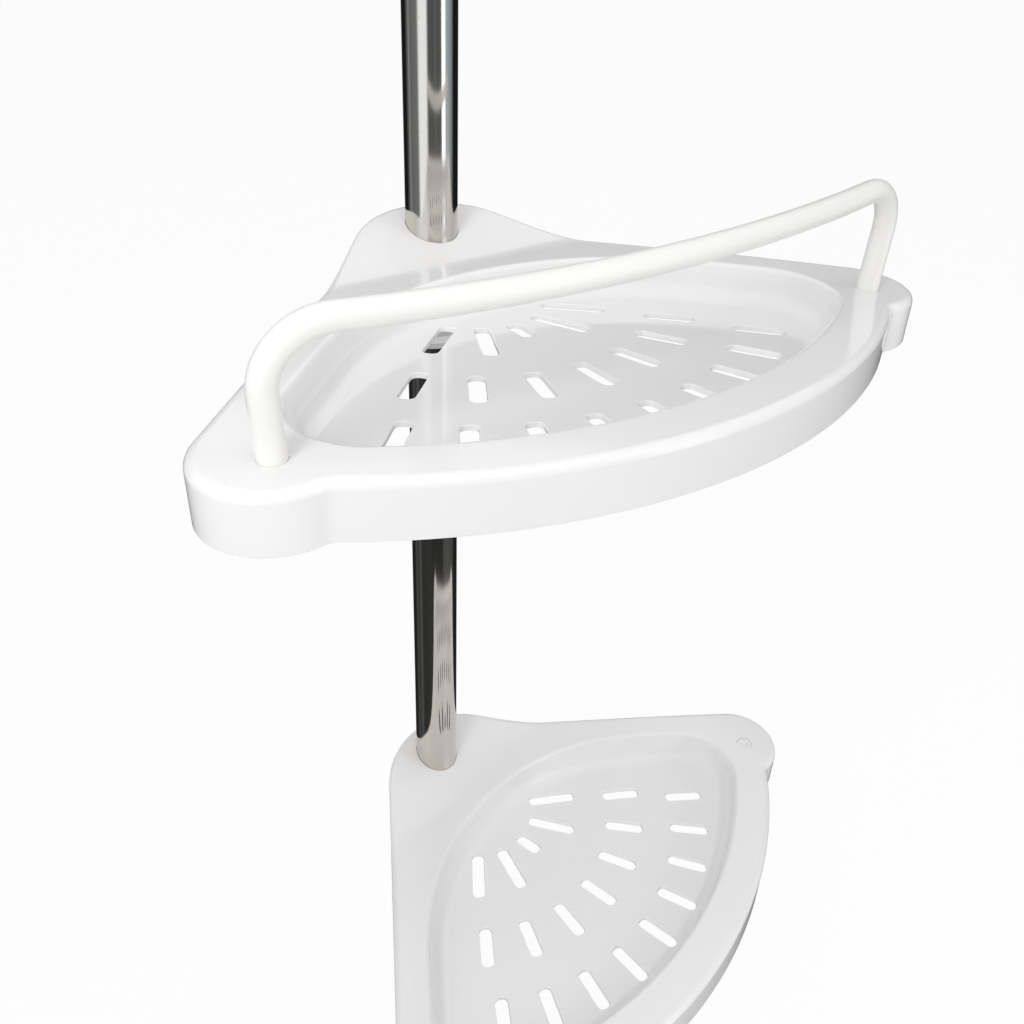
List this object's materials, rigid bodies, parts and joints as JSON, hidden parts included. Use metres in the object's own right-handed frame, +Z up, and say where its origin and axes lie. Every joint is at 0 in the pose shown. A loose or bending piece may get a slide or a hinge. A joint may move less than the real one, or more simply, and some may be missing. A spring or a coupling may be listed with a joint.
{
  "type": "corner shower shelf on a tension pole",
  "caption": "Telescopic sprung pole carrying quarter-round moulded shower shelves with drain slots and a guard rail; the shelves slide along the pole and swivel about it.",
  "frame": {"origin": "on the pole's axis, at the bottom face of the foot pad", "axes": "+Z up the pole; the lower shelf's middle line points along -Y, and the upper shelf is turned from it by 16.5 degrees clockwise seen from above"},
  "size_m": [0.367, 0.2343, 0.8919],
  "materials": {
    "gloss_white_tray": "glossy moulded white",
    "satin_white_rail": "satin white coating on a steel rod",
    "polished_steel": "mirror polished",
    "zinc_plated_steel": "zinc plated",
    "white_cup": "satin moulded white",
    "grey_sleeve": "matte moulded grey",
    "grey_rubber": "matte"
  },
  "bodies": {
    "pole": {"foot_pad": "grey_rubber", "foot_cup": "white_cup", "lower_tube": "polished_steel", "tube_coupling": "zinc_plated_steel", "upper_tube": "polished_steel", "guide_collar": "white_cup", "spring_seat": "grey_sleeve", "tension_spring": "zinc_plated_steel"},
    "head": {"inner_bush": "grey_sleeve", "inner_tube": "polished_steel", "head_cup": "white_cup", "head_pad": "grey_rubber"},
    "upper_sleeve": {"upper_sleeve_front": "grey_sleeve", "upper_sleeve_back": "grey_sleeve", "upper_sleeve_ring": "white_cup"},
    "upper_shelf": {"upper_tray": "gloss_white_tray", "upper_rail": "satin_white_rail", "upper_socket_left": "white_cup", "upper_socket_right": "white_cup"},
    "lower_sleeve": {"lower_sleeve_front": "grey_sleeve", "lower_sleeve_back": "grey_sleeve", "lower_sleeve_ring": "white_cup"},
    "lower_shelf": {"lower_tray": "gloss_white_tray", "lower_plug_left": "white_cup", "lower_plug_right": "white_cup"}
  },
  "joints": [
    {"name": "head_slide", "type": "slide", "parent": "pole", "child": "head", "axis": [0, 0, 1], "range_m": [-0.045, 0], "stiffness_N_per_m": 1500, "springref_m": 0.01, "deforming": ["tension_spring"]},
    {"name": "lower_slide", "type": "slide", "parent": "pole", "child": "lower_sleeve", "axis": [0, 0, 1], "range_m": [-0.1, 0.12]},
    {"name": "upper_slide", "type": "slide", "parent": "pole", "child": "upper_sleeve", "axis": [0, 0, 1], "range_m": [-0.12, 0.1]},
    {"name": "lower_swivel", "type": "hinge", "parent": "lower_sleeve", "child": "lower_shelf", "pos_m": [0, 0, 0.2], "axis": [0, 0, 1], "continuous": true},
    {"name": "upper_swivel", "type": "hinge", "parent": "upper_sleeve", "child": "upper_shelf", "pos_m": [0, 0, 0.5435], "axis": [0, 0, 1], "continuous": true}
  ]
}
